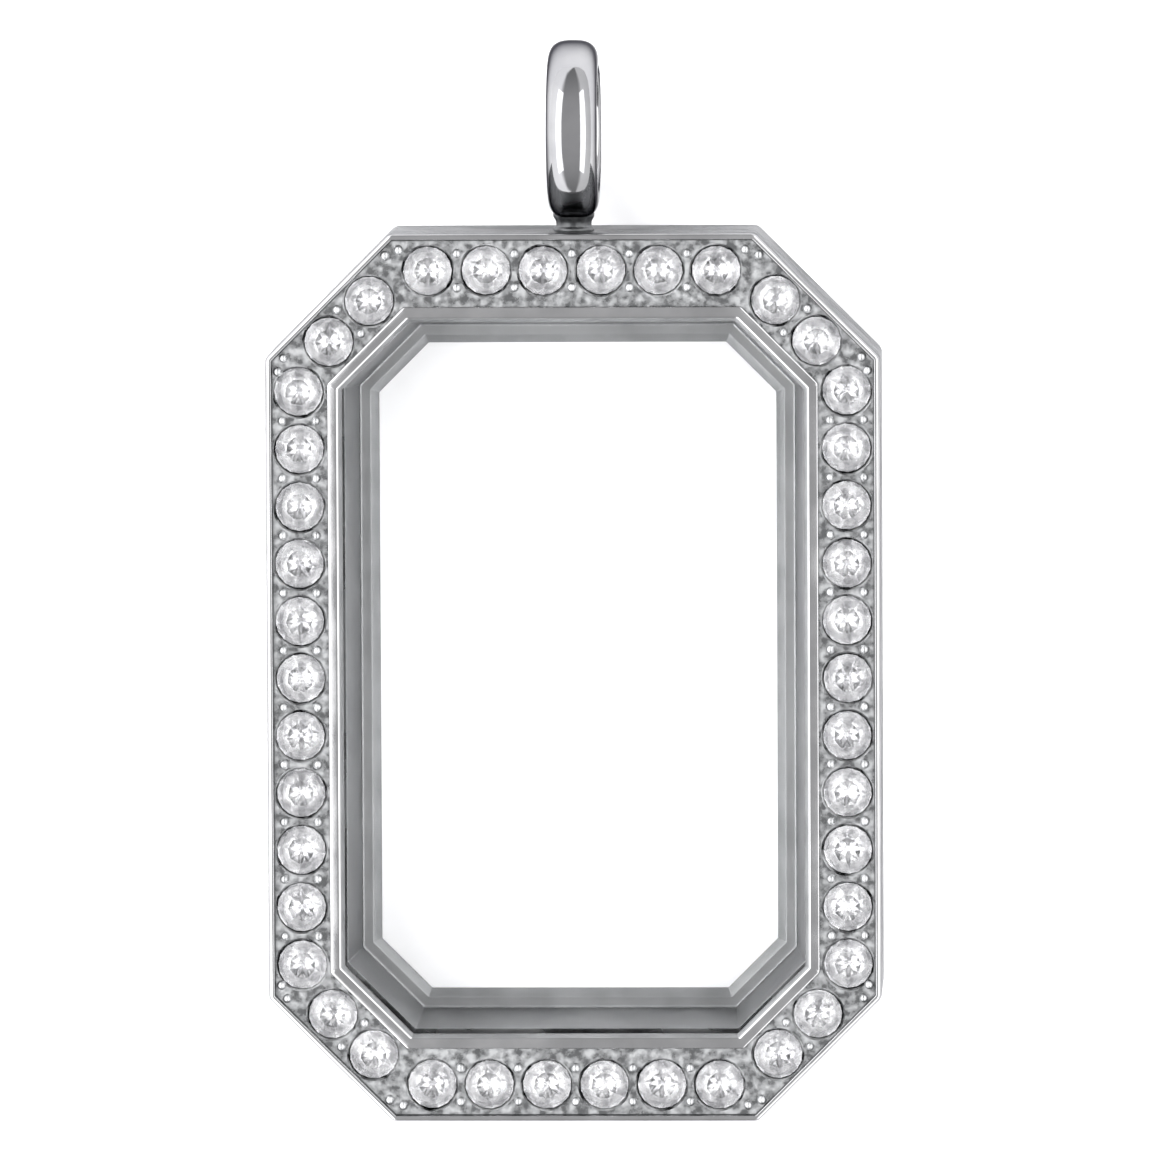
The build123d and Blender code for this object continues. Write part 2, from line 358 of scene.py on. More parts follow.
# Burnished stainless steel on the raised grains: smooth, with a small highlight.
BURNISHED_STEEL = SteelFinish(
    "burnished stainless steel", "B4B5B6", "8A8B8C", (0.26, 0.42), 0.25, 0.10, 0.002
)
# Silver foil on the crystals' backs: it throws the light back through the table,
# and its soft creases break each facet into patches.
SILVER_FOIL = SteelFinish(
    "silver foil", "F5F5F6", "B9B9BB", (0.12, 0.28), 0.45, 0.45, 0.011
)
# Cut crystal: clear lead glass that sparkles more than window glass.
CUT_CRYSTAL = GlassFinish("cut lead crystal", "FFFFFF", 1.58, 0.5, 2.0, (0.0, 0.03))
# Window glass: polished mineral glass that is hardly seen face on.
WINDOW_GLASS = GlassFinish(
    "polished mineral glass", "F8FAFA", 1.5, 5.0, 4.0, (0.0, 0.05), facing=(0.02, 0.50)
)
# White card, the plain pale floor.
WHITE_CARD = CardFinish("white card", "FCFCFD", "F8F8F9", 0.8)


# Meshes


@dataclass
class Shell:
    """Part of a piece's surface: points in mm, equal faces and a finish index.

    The index may be an array with one for each face.
    """

    points: np.ndarray
    faces: np.ndarray
    finish: int | np.ndarray = 0
    smooth: bool = True


def grid_faces(
    rows: int, columns: int, wrap_rows: bool, wrap_columns: bool
) -> np.ndarray:
    """Quads over a grid of points; each faces columns' way crossed with rows' way.

    Args:
        rows: Number of rows of points.
        columns: Number of points in a row.
        wrap_rows: Whether the last row joins the first.
        wrap_columns: Whether the last column joins the first.

    Returns:
        Four point indices for each quad.
    """
    row = np.arange(rows if wrap_rows else rows - 1)[:, None]
    column = np.arange(columns if wrap_columns else columns - 1)[None, :]
    below = (row + 1) % rows
    right = (column + 1) % columns
    corners = [
        row * columns + column,
        row * columns + right,
        below * columns + right,
        below * columns + column,
    ]
    return np.stack(corners, axis=-1).reshape(-1, 4)


def skin(
    points: np.ndarray,
    wrap_rows: bool,
    wrap_columns: bool,
    finish: int | np.ndarray = 0,
) -> Shell:
    """A surface over a grid of points, each row of it joined to the next.

    Args:
        points: Points by row and column.
        wrap_rows: Whether the last row joins the first.
        wrap_columns: Whether the last column joins the first.
        finish: The finish's index, or one for each row of faces.

    Returns:
        The surface.
    """
    faces = grid_faces(points.shape[0], points.shape[1], wrap_rows, wrap_columns)
    return Shell(points.reshape(-1, 3), faces, finish)


def spokes(angle: np.ndarray) -> np.ndarray:
    """Unit vectors (cos a, sin a), one for each angle a."""
    return np.stack([np.cos(angle), np.sin(angle)], axis=-1)


def make_mesh(name: str, shells: list[Shell], finishes: list[Finish]) -> bpy.types.Mesh:
    """Put shells into one mesh, with its creases kept sharp.

    Args:
        name: The mesh's name.
        shells: Its surfaces, in millimetres.
        finishes: The finishes that the shells' indices name.

    Returns:
        The mesh, in metres.
    """
    points = np.concatenate([shell.points for shell in shells]) * MM
    starts = np.cumsum([0] + [len(shell.points) for shell in shells])
    corners = [shell.faces + start for shell, start in zip(shells, starts)]
    totals = np.concatenate([np.full(len(c), c.shape[1]) for c in corners])
    loops = np.concatenate([c.ravel() for c in corners])
    finish_of = np.concatenate([np.full(len(s.faces), s.finish) for s in shells])
    smooth = np.concatenate([np.full(len(s.faces), s.smooth) for s in shells])

    mesh = bpy.data.meshes.new(name)
    mesh.vertices.add(len(points))
    mesh.vertices.foreach_set("co", points.astype(np.float32).ravel())
    mesh.loops.add(len(loops))
    mesh.loops.foreach_set("vertex_index", loops.astype(np.int32))
    mesh.polygons.add(len(totals))
    loop_starts = np.cumsum(totals) - totals
    mesh.polygons.foreach_set("loop_start", loop_starts.astype(np.int32))
    for finish in finishes:
        mesh.materials.append(finish.material())
    mesh.polygons.foreach_set("material_index", finish_of.astype(np.int32))
    mesh.polygons.foreach_set("use_smooth", smooth)
    mesh.update(calc_edges=True)
    mesh.validate()
    mesh.set_sharp_from_angle(angle=CREASE)
    return mesh


def make_piece(
    name: str,
    shells: list[Shell],
    finishes: list[Finish],
    body: Body,
    slot: Slot,
    node: str,
) -> None:
    """Build one piece at the origin and let it stand for its CAD node.

    On metal, each large face keeps its own normal.

    Args:
        name: The piece's name.
        shells: Its surfaces, in millimetres.
        finishes: The finishes that the shells' indices name.
        body: The body that it rides on.
        slot: Its material slot; on steel, the faces get even shading.
        node: The CAD node that it replaces.
    """
    piece = bpy.data.objects.new(name, make_mesh(name, shells, finishes))
    bpy.context.scene.collection.objects.link(piece)
    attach(piece, body.value)
    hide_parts(node)
    if slot is Slot.STEEL:
        weighted = piece.modifiers.new("even shading", "WEIGHTED_NORMAL")
        weighted.keep_sharp = True
        weighted.weight = FLAT_WEIGHT
    LOG.info("%s: %d faces, rides on %s", name, len(piece.data.polygons), body.value)


def dress_node(node: str, finish: Finish) -> None:
    """Give a CAD node that keeps its shape its finish.

    Args:
        node: The node's name.
        finish: What it is made of.
    """
    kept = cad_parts[node]
    for material_slot in kept.material_slots:
        material_slot.material = finish.material()
    LOG.info("%s: keeps its CAD shape, in %s", node, finish.name)


def soften(
    profile: np.ndarray, rounding: np.ndarray, steps: int, closed: bool
) -> np.ndarray:
    """Round each corner of a profile.

    A corner C between A and B, each its rounding away from C along the two
    sides, becomes the curve (1 - t)^2 A + 2 t (1 - t) C + t^2 B. Distances are
    measured on the first and the last of the first three columns. The ends of
    an open profile stay as they are.

    Args:
        profile: One row for each corner.
        rounding: How far from each corner its curve starts; 0 keeps it sharp.
        steps: Number of parts that each curve has.
        closed: Whether the last corner joins the first.

    Returns:
        The rounded profile, one row for each point.
    """
    rounding = rounding.copy()
    if not closed:
        rounding[[0, -1]] = 0.0
    measured = [0, 2] if profile.shape[1] > 2 else [0, 1]
    ends = []
    for shift in (1, -1):
        side = np.roll(profile, shift, axis=0) - profile
        length = np.linalg.norm(side[:, measured], axis=1) + 1e-9
        ends.append(profile + side * (rounding / length)[:, None])
    t = np.linspace(0.0, 1.0, steps + 1)[None, :, None]
    before, after = ends[0][:, None], ends[1][:, None]
    curve = (1 - t) ** 2 * before + 2 * t * (1 - t) * profile[:, None] + t**2 * after
    keep = np.ones(curve.shape[:2], bool)
    keep[rounding <= 0.0, 1:] = False
    return curve[keep]


def lathe(
    profile: np.ndarray, axis: int, centre: np.ndarray, sides: int, closed: bool
) -> Shell:
    """Turn a profile round an axis.

    A row (s, r) goes to the centre plus s along the axis and r times
    (cos a, sin a) across it, for an angle a over one full turn. Its faces look
    away from the axis where s grows along the profile.

    Args:
        profile: Rows of distance along the axis and radius.
        axis: 0, 1 or 2 for X, Y or Z.
        centre: A point on the axis.
        sides: Number of steps round.
        closed: Whether the last row joins the first.

    Returns:
        The surface.
    """
    angle = np.arange(sides) * FULL_TURN / sides
    points = np.zeros((len(profile), sides, 3))
    points[..., axis] = profile[:, None, 0]
    points[..., (axis + 1) % 3] = profile[:, None, 1] * np.cos(angle)
    points[..., (axis + 2) % 3] = profile[:, None, 1] * np.sin(angle)
    return skin(points + centre, closed, True)


def bored_bar(
    outside: np.ndarray,
    angle: np.ndarray,
    bore: float,
    centre: np.ndarray,
    length: float,
    edge: float = 0.05,
) -> Shell:
    """A bar along Y with a bore, closed, with its ends' outer edges bevelled.

    At each angle the outside is outside[k] from the axis and the bore is a
    circle; both run from -length / 2 to length / 2 about the centre.

    Args:
        outside: Distance of the outside for each angle.
        angle: The angles, rising, from +X towards +Z.
        bore: Radius of the bore.
        centre: The bar's middle.
        length: Its length.
        edge: Width of the bevels.

    Returns:
        The closed surface.
    """
    hole = np.full_like(outside, bore)
    half = length / 2
    radius = np.stack([outside - edge, outside, outside, outside - edge, hole, hole])
    along = np.array([half, half - edge, edge - half, -half, -half, half])[:, None]
    x = centre[0] + radius * np.cos(angle)
    y = centre[1] + along + 0.0 * radius
    z = centre[2] + radius * np.sin(angle)
    points = np.stack([x, y, z], axis=-1)
    return skin(points, True, True)


@dataclass(frozen=True)
class Outline:
    """An upright rectangle with 45 degree corners, in millimetres.

    corner_distance is how far each cut corner's line is from the middle. The
    sizes may be arrays, which stand for as many outlines.
    """

    half_width: float | np.ndarray
    half_height: float | np.ndarray
    corner_distance: float | np.ndarray
    centre_y: float

    def inset(self, side: float | np.ndarray, end: float | np.ndarray) -> "Outline":
        """The same form moved in by side, and by end at the two short ends."""
        width, height = self.half_width - side, self.half_height - end
        return Outline(width, height, self.corner_distance - side, self.centre_y)

    def corners(self) -> np.ndarray:
        """The eight corners' x and y, clockwise from the top edge's left end."""
        w, h = self.half_width, self.half_height
        leg = w + h - self.corner_distance * math.sqrt(2.0)
        x = np.stack([leg - w, w - leg, w, w, w - leg, leg - w, -w, -w], axis=-1)
        y = np.stack([h, h, h - leg, leg - h, -h, -h, leg - h, h - leg], axis=-1)
        return np.stack([x, y + self.centre_y], axis=-1)

    def lines(self) -> tuple[np.ndarray, np.ndarray]:
        """The eight sides' outward normals and their distances from (0, 0)."""
        angle = math.pi / 2 - np.arange(8) * math.pi / 4
        normals = spokes(angle)
        return normals, np.sum(normals * self.corners(), axis=1)


@dataclass(frozen=True)
class Sweep:
    """Carries a profile round the case's outline."""

    outer: Outline
    arc_steps: int = 5
    run_steps: int = 6

    def rings(self, profile: np.ndarray) -> np.ndarray:
        """Work out a ring of points for each profile row (side, end, z, radius).

        A ring is the outer outline moved in by side and end, at height z. Each
        corner turns by 45 degrees, so its arc's centre is radius / cos 22.5
        degrees in from the corner, and straight runs join the arcs.

        Args:
            profile: Rows of side, end, z and corner radius.

        Returns:
            Points by profile row, then clockwise round the ring.
        """
        side, end, z, radius = profile.T
        corners = self.outer.inset(side, end).corners()
        middle = math.radians(112.5) - np.arange(8) * math.pi / 4
        reach = radius[:, None, None] / math.cos(math.pi / 8)
        centres = corners - reach * spokes(middle)
        turn = math.pi / 8 - np.linspace(0.0, math.pi / 4, self.arc_steps + 1)
        arcs = centres[:, :, None]
        arcs = arcs + radius[:, None, None, None] * spokes(middle[:, None] + turn)
        start = arcs[:, :, -1:]
        finish = np.roll(arcs[:, :, :1], -1, axis=1)
        share = (np.arange(1, self.run_steps) / self.run_steps)[:, None]
        runs = start * (1 - share) + finish * share
        flat = np.concatenate([arcs, runs], axis=2).reshape(len(profile), -1, 2)
        height = np.broadcast_to(z[:, None, None], flat.shape[:2] + (1,))
        return np.concatenate([flat, height], axis=2)


# Sizes that the pieces share


@cache
def node_box(node: str) -> tuple[np.ndarray, np.ndarray]:
    """Lowest and highest corner of a CAD node, in millimetres."""
    low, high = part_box(node)
    return np.array(low) / MM, np.array(high) / MM


def units(vectors: np.ndarray) -> np.ndarray:
    """The same vectors with a length of 1."""
    return vectors / np.linalg.norm(vectors, axis=-1, keepdims=True)


@dataclass(frozen=True)
class LocketForm:
    """Sizes of the border and the lip, in millimetres, as the CAD has them."""

    corner_cut: float = 5.12
    outline_radius: float = 0.40
    parting_gap: float = 0.05
    rim_width: float = 0.30
    channel_depth: float = 0.22
    crystal_radius: float = 1.00
    seat_clearance: float = 0.04
    seat_wall: float = 0.18
    seat_web: float = 0.288
    side_lands: tuple[float, float] = (0.04, 0.13)
    end_lands: tuple[float, float] = (0.18, 0.46)
    row_end_share: float = 0.70
    corner_end_share: float = 1.50
    grain_radius: float = 0.20
    grain_offset: float = 0.70
    corner_grain_offset: float = 0.80
    corner_grain_spread: float = 0.30
    lip_land: float = 0.42
    lip_bevel: tuple[float, float] = (0.18, 0.20)
    ledge_height: float = 0.50
    ledge_width: float = 0.40

    @property
    def outer(self) -> Outline:
        """The case's outline, from the cover's node."""
        low, high = node_box("front_frame")
        half = (high - low) / 2
        cut_line = (half[0] + half[1] - self.corner_cut) / math.sqrt(2.0)
        return Outline(half[0], half[1], cut_line, (low[1] + high[1]) / 2)

    @property
    def top(self) -> float:
        """Height of the rim and the lip."""
        return float(node_box("front_frame")[1][2])

    @property
    def parting(self) -> float:
        """Height of the case's upper edge."""
        return float(node_box("back_frame")[1][2])

    @property
    def channel_z(self) -> float:
        """Height of the channel's floor."""
        return self.top - self.channel_depth

    @property
    def girdle_z(self) -> float:
        """Height of the crystals' girdles."""
        return self.channel_z - self.seat_wall

    @property
    def seat_radius(self) -> float:
        """Radius of a crystal's drilled seat."""
        return self.crystal_radius + self.seat_clearance

    @property
    def window_inset(self) -> float:
        """From the lip's outside in to the front window's edge."""
        return self.lip_land + self.lip_bevel[0]

    @property
    def hinge(self) -> np.ndarray:
        """The middle of the hinge's pin."""
        low, high = node_box("hinge_pin")
        return (low + high) / 2

    def row_inset(self) -> tuple[float, float]:
        """How far in the line of crystals is, at the sides and at the ends."""
        side = self.rim_width + self.side_lands[0] + self.seat_radius
        end = self.rim_width + self.end_lands[0] + self.seat_radius
        return side, end

    def lip_inset(self, further: float = 0.0) -> tuple[float, float]:
        """How far in the lip's outside is, or a line further in from it.

        Args:
            further: Distance in from the lip's outside.

        Returns:
            The inset at the sides and at the ends.
        """
        side, end = self.row_inset()
        reach = self.seat_radius + further
        return side + reach + self.side_lands[1], end + reach + self.end_lands[1]

    def crystal_runs(self) -> list[np.ndarray]:
        """Crystal centres of the eight straight runs, clockwise from the top.

        A run holds as many crystals as fit between its two end shares, a pitch
        apart and about the run's middle.

        Returns:
            Rows of x and y for each run.
        """
        corners = self.outer.inset(*self.row_inset()).corners()
        pitch = 2 * self.seat_radius + self.seat_web
        runs = []
        for i, (start, end) in enumerate(zip(corners, np.roll(corners, -1, axis=0))):
            share = self.row_end_share if i % 2 == 0 else self.corner_end_share
            length = float(np.linalg.norm(end - start))
            count = int((length - 2 * share * self.seat_radius) / pitch) + 1
            place = np.arange(count)[:, None] - (count - 1) / 2
            runs.append((start + end) / 2 + place * pitch * units(end - start))
        return runs

    def grain_places(self) -> np.ndarray:
        """Centres of the raised grains: two in each gap, three at each corner.

        Outward is a run's way turned by 90 degrees: (x, y) becomes (-y, x). A
        place that would touch a seat is left out.

        Returns:
            Rows of x and y.
        """
        turn = np.array([[0.0, 1.0], [-1.0, 0.0]])
        runs = self.crystal_runs()
        places = []
        for run in runs:
            middle = (run[1:] + run[:-1]) / 2
            outward = units(run[1:] - run[:-1]) @ turn
            places += [middle + outward * self.grain_offset]
            places += [middle - outward * self.grain_offset]
        corners = self.outer.inset(*self.row_inset()).corners()
        ways = units(np.roll(corners, -1, axis=0) - corners)
        along = units(ways + np.roll(ways, 1, axis=0))
        outward = along @ turn
        for spread in (-self.corner_grain_spread, self.corner_grain_spread):
            places += [corners + outward * self.corner_grain_offset + along * spread]
        places += [corners - outward * self.grain_offset]
        every = np.concatenate(places)
        seats = np.concatenate(runs)
        gap = np.linalg.norm(every[:, None] - seats[None], axis=2).min(axis=1)
        return every[gap > self.seat_radius + self.grain_radius / 2]


@dataclass(frozen=True)
class HingeForm:
    """Sizes of the hinge, in millimetres."""

    bore: float = 0.28
    knuckle_radius: float = 0.50
    knuckle_length: float = 2.60
    knuckle_gap: float = 0.10
    relief_radius: float = 1.12
    headroom: float = 0.12
    web_bite: float = 0.20
    sides: int = 72

    def angles(self, sharp: list[float]) -> np.ndarray:
        """Even angles round the knuckle with some exact ones among them."""
        even = np.arange(self.sides) * FULL_TURN / self.sides - math.pi
        return np.unique(np.concatenate([even, sharp]).round(6))

    def cover_knuckle(self, hinge: np.ndarray, height: float) -> Shell:
        """The middle knuckle: a round bar whose upper half widens into a web.

        Below the axis its outside is a circle. Above it, it is the nearer of
        the web's side, radius / |cos a|, and its top, height / sin a.

        Args:
            hinge: The pin's middle.
            height: How far above the axis the web ends.

        Returns:
            The closed surface.
        """
        corner = math.atan2(height, self.knuckle_radius)
        angle = self.angles([corner, math.pi - corner])
        up = np.maximum(np.sin(angle), 1e-6)
        web_side = self.knuckle_radius / np.maximum(np.abs(np.cos(angle)), 1e-6)
        web = np.minimum(web_side, height / up)
        outside = np.where(np.sin(angle) > 0.0, web, self.knuckle_radius)
        return bored_bar(outside, angle, self.bore, hinge, self.knuckle_length)

    def case_knuckle(self, hinge: np.ndarray, shift: float, rise: float) -> Shell:
        """An end knuckle: a round bar with a web into the case's wall.

        Towards the case its outside is the further of the circle and the web,
        which ends at the relief's wall, at rise above and a radius below.

        Args:
            hinge: The pin's middle.
            shift: Where the knuckle's middle is along the pin.
            rise: How far above the axis the web ends.

        Returns:
            The closed surface.
        """
        reach = self.relief_radius + self.web_bite
        low = self.knuckle_radius
        angle = self.angles([math.atan2(rise, reach), math.atan2(-low, reach)])
        across = np.maximum(np.cos(angle), 1e-6)
        up = np.sin(angle)
        lid = np.where(up > 0.0, rise, low) / np.maximum(np.abs(up), 1e-6)
        web = np.minimum(reach / across, lid)
        towards_case = np.cos(angle) > 0.0
        outside = np.where(towards_case, np.maximum(web, low), low)
        middle = hinge + np.array([0.0, shift, 0.0])
        return bored_bar(outside, angle, self.bore, middle, self.knuckle_length)


# Sub-assemblies


@dataclass
class CoverFrame:
    """The cover's metal: rim, channel with seats and grains, lip and knuckle."""

    form: LocketForm
    hinge: HingeForm
    seat_floor_radius: float = 0.25
    seat_depth: float = 0.85
    seat_edge: float = 0.06
    seat_edge_share: float = 0.6
    seat_sides: int = 64
    first_ray: float = 0.25
    grain_foot: float = 0.15
    grain_rings: int = 7
    grain_sides: int = 20
    grain_spread: float = 0.06
    lip_slope: float = 0.060
    wall_slope: float = 0.06
    round_steps: int = 4
    seed: int = 7

    def rim_and_lip(self) -> Shell:
        """All but the channel's floor, as one profile carried round the case.

        It runs from the floor up the rim, down the outside, in below, up to
        the ledge over the glass, up the bevel and over the lip to the floor.

        Returns:
            The surface, open at the channel's floor.
        """
        form = self.form
        low = form.parting + form.parting_gap
        ledge = form.top - form.ledge_height
        bevel = form.top - form.lip_bevel[1]
        rebate = form.lip_inset(form.window_inset - form.ledge_width)
        window = form.lip_inset(form.window_inset)
        land = form.lip_inset(form.lip_land)
        lip = form.lip_inset()
        rim = (form.rim_width, form.rim_width)
        brow = (form.rim_width - self.wall_slope, form.rim_width - self.wall_slope)
        edge = form.outline_radius
        # Columns: side, end, height, corner radius, rounding.
        table = np.array(
            [
                (*rim, form.channel_z, 0.0, 0.0),
                (*brow, form.top, 0.10, 0.03),
                (0.0, 0.0, form.top, edge, 0.18),
                (0.0, 0.0, low, edge, 0.08),
                (*rebate, low, 0.10, 0.06),
                (*rebate, ledge, 0.10, 0.0),
                (*window, ledge, 0.10, 0.03),
                (*window, bevel, 0.10, 0.02),
                (*land, form.top, 0.16, 0.12),
                (*lip, form.top - self.lip_slope, 0.22, 0.06),
                (*lip, form.channel_z, 0.0, 0.0),
            ]
        )
        profile = soften(table[:, :4], table[:, 4], self.round_steps, closed=False)
        rings = Sweep(form.outer).rings(profile)
        # Where a row of faces has its middle says which part it belongs to. The
        # window's, the corners' and the sides' rows get darker steels: painted shade.
        middle = (profile[1:] + profile[:-1]) / 2
        side, height = middle[:, 0], middle[:, 2]
        shaded_window_rows = side > land[0] + 0.03
        shaded_corner_rows = (height > form.channel_z) & (height < form.top - 0.09)
        shaded_corner_rows &= side > self.wall_slope
        shaded_side_rows = (side < 0.02) & (height < form.top - 0.10)
        shaded_side_rows |= (side < rebate[0] - 0.02) & (height < low + 0.02)
        rows = [shaded_window_rows, shaded_corner_rows, shaded_side_rows]
        finish = np.select(rows, [Part.WINDOW, Part.CORNERS, Part.SIDES], Part.RIM)
        return skin(rings, False, True, np.repeat(finish, rings.shape[1]))

    def cell_lines(
        self, centre: np.ndarray, others: np.ndarray
    ) -> list[tuple[np.ndarray, np.ndarray]]:
        """The lines that can end a crystal's cell of the channel's floor.

        Args:
            centre: The crystal's centre.
            others: The centres before and after it.

        Returns:
            Normals and distances from (0, 0): the rim's, the lip's and halfway.
        """
        form = self.form
        halfway = units(others - centre)
        return [
            form.outer.inset(form.rim_width, form.rim_width).lines(),
            form.outer.inset(*form.lip_inset()).lines(),
            (halfway, np.sum(halfway * (others + centre) / 2, axis=1)),
        ]

    def cell_reach(
        self, centre: np.ndarray, others: np.ndarray, direction: np.ndarray
    ) -> np.ndarray:
        """How far a crystal's cell of the channel's floor reaches.

        A ray u from the centre p meets the line n.x = c at (c - n.p) / (n.u).
        The cell ends at the first of the rim's lines, of the halfway lines to
        the crystals beside it, and of the lip, which a ray enters at the last
        of the lines that it crosses inwards.

        Args:
            centre: The crystal's centre.
            others: The centres before and after it.
            direction: Unit vectors, one for each ray.

        Returns:
            The distance along each ray.
        """
        far = 1e6

        def meet(normals: np.ndarray, lines: np.ndarray, way: int) -> np.ndarray:
            """Distance to each line that is crossed outwards, or inwards for -1."""
            rate = direction @ normals.T
            crossed = rate * way > 1e-9
            reach = (lines - normals @ centre) / np.where(crossed, rate, 1.0)
            return np.where(crossed, reach, far * way)

        rim, lip, halfway = self.cell_lines(centre, others)
        enter = meet(*lip, -1).max(axis=1)
        leave = meet(*lip, 1).min(axis=1)
        to_lip = np.where((enter > 0.0) & (enter <= leave + 1e-9), enter, far)
        to_rim = meet(*rim, 1).min(axis=1)
        to_next = meet(*halfway, 1).min(axis=1)
        return np.minimum(np.minimum(to_rim, to_lip), to_next)

    def cell_corners(self, centre: np.ndarray, others: np.ndarray) -> np.ndarray:
        """Angles at which a cell's edge turns.

        Every two of its lines are crossed; the crossings that are as far off
        as the cell reaches along their own ray are its corners.

        Args:
            centre: The crystal's centre.
            others: The centres before and after it.

        Returns:
            The angles.
        """
        found = zip(*self.cell_lines(centre, others))
        normals, lines = (np.concatenate(part) for part in found)
        first, second = np.triu_indices(len(normals), 1)
        pairs = np.stack([normals[first], normals[second]], axis=1)
        crossing = np.abs(np.linalg.det(pairs)) > 1e-6
        sums = np.stack([lines[first], lines[second]], axis=1)[crossing]
        points = np.linalg.solve(pairs[crossing], sums[..., None])[..., 0]
        rays = points - centre
        size = np.linalg.norm(rays, axis=1)
        reach = self.cell_reach(centre, others, rays / size[:, None])
        turns = rays[np.abs(reach - size) < 1e-4]
        return np.arctan2(turns[:, 1], turns[:, 0])

    def cell(self, centre: np.ndarray, others: np.ndarray) -> list[Shell]:
        """A crystal's cell of the floor, with its drilled seat.

        Rings round the centre run from the cell's edge to the seat's bevelled
        edge, then down its wall and its cone to the middle. The even rays start
        a quarter step off, so that none runs along one of the cell's lines.

        Args:
            centre: The crystal's centre.
            others: The centres before and after it.

        Returns:
            The floor and the seat.
        """
        form = self.form
        step = FULL_TURN / self.seat_sides
        even = (np.arange(self.seat_sides) + self.first_ray) * step - math.pi
        corners = np.sort(self.cell_corners(centre, others))
        corners = corners[np.diff(corners, append=corners[0] + FULL_TURN) > 1e-3]
        apart = np.abs((even[:, None] - corners + math.pi) % FULL_TURN - math.pi)
        angle = np.sort(np.concatenate([even[apart.min(axis=1) > 0.02], corners]))
        direction = spokes(angle)
        reach = self.cell_reach(centre, others, direction)
        seat = np.full_like(reach, form.seat_radius)
        room = self.seat_edge_share * (reach - seat)
        edge = seat + np.minimum(self.seat_edge, room)
        floor_z = form.channel_z
        base_z = form.girdle_z - self.seat_depth

        def rings(places: list[tuple[np.ndarray | float, float]], finish: int) -> Shell:
            """Rings of given radius and height round the centre."""
            radius = np.stack([r + 0.0 * reach for r, _ in places])[..., None]
            flat = centre + direction * radius
            z = np.array([height for _, height in places])[:, None, None]
            points = np.concatenate([flat, z + 0.0 * radius], axis=-1)
            return skin(points, False, True, finish)

        middle = (reach + edge) / 2
        outer_rings = [(reach, floor_z), (middle, floor_z), (edge, floor_z)]
        floor = rings(outer_rings, Part.FLOOR)
        # The seats get the steel with dark patches: painted shadow in the gap round
        # each stone.
        drilled = rings(
            [
                (edge, floor_z),
                (seat, floor_z - self.seat_edge),
                (seat, form.girdle_z),
                (self.seat_floor_radius, base_z),
                (1e-3, base_z),
            ],
            Part.SEATS,
        )
        return [floor, drilled]

    def grains(self) -> Shell:
        """Raised grains: domes r (cos b cos a, cos b sin a, sin b).

        The angle b rises from just below the floor to just short of 90 degrees.

        Returns:
            All domes as one surface, with their feet just below the floor.
        """
        places = self.form.grain_places()
        rng = np.random.default_rng(self.seed)
        size = 1.0 + rng.uniform(-self.grain_spread, self.grain_spread, len(places))
        radius = (self.form.grain_radius * size)[:, None, None]
        highest = math.pi / 2 - 0.005
        b = np.linspace(-self.grain_foot, highest, self.grain_rings)[:, None]
        a = np.arange(self.grain_sides) * FULL_TURN / self.grain_sides
        x = places[:, None, None, 0] + radius * np.cos(b) * np.cos(a)
        y = places[:, None, None, 1] + radius * np.cos(b) * np.sin(a)
        z = self.form.channel_z + radius * np.sin(b) + 0.0 * a
        points = np.stack([x, y, z], axis=-1)
        faces = grid_faces(self.grain_rings, self.grain_sides, False, True)
        starts = np.arange(len(places)) * self.grain_rings * self.grain_sides
        every = (faces[None] + starts[:, None, None]).reshape(-1, 4)
        return Shell(points.reshape(-1, 3), every, Part.GRAINS)

    def build(self) -> None:
        """Make the cover's metal in place of its node."""
        centres = np.concatenate(self.form.crystal_runs())
        beside = zip(np.roll(centres, 1, axis=0), np.roll(centres, -1, axis=0))
        shells = [self.rim_and_lip(), self.grains()]
        for centre, others in zip(centres, beside):
            shells += self.cell(centre, np.stack(others))
        hinge = self.form.hinge
        web = self.form.parting + self.form.parting_gap + self.hinge.web_bite
        shells.append(self.hinge.cover_knuckle(hinge, web - hinge[2]))
        finishes = [
            BUFFED_STEEL,
            GRAVED_STEEL,
            SHADED_DULL_STEEL,
            BURNISHED_STEEL,
            SHADED_SATIN_STEEL,
            SEAT_SHADOW_STEEL,
            SHADED_BRUSHED_STEEL,
        ]
        name, node = "cover_frame", "front_frame"
        make_piece(name, shells, finishes, Body.COVER, Slot.STEEL, node)


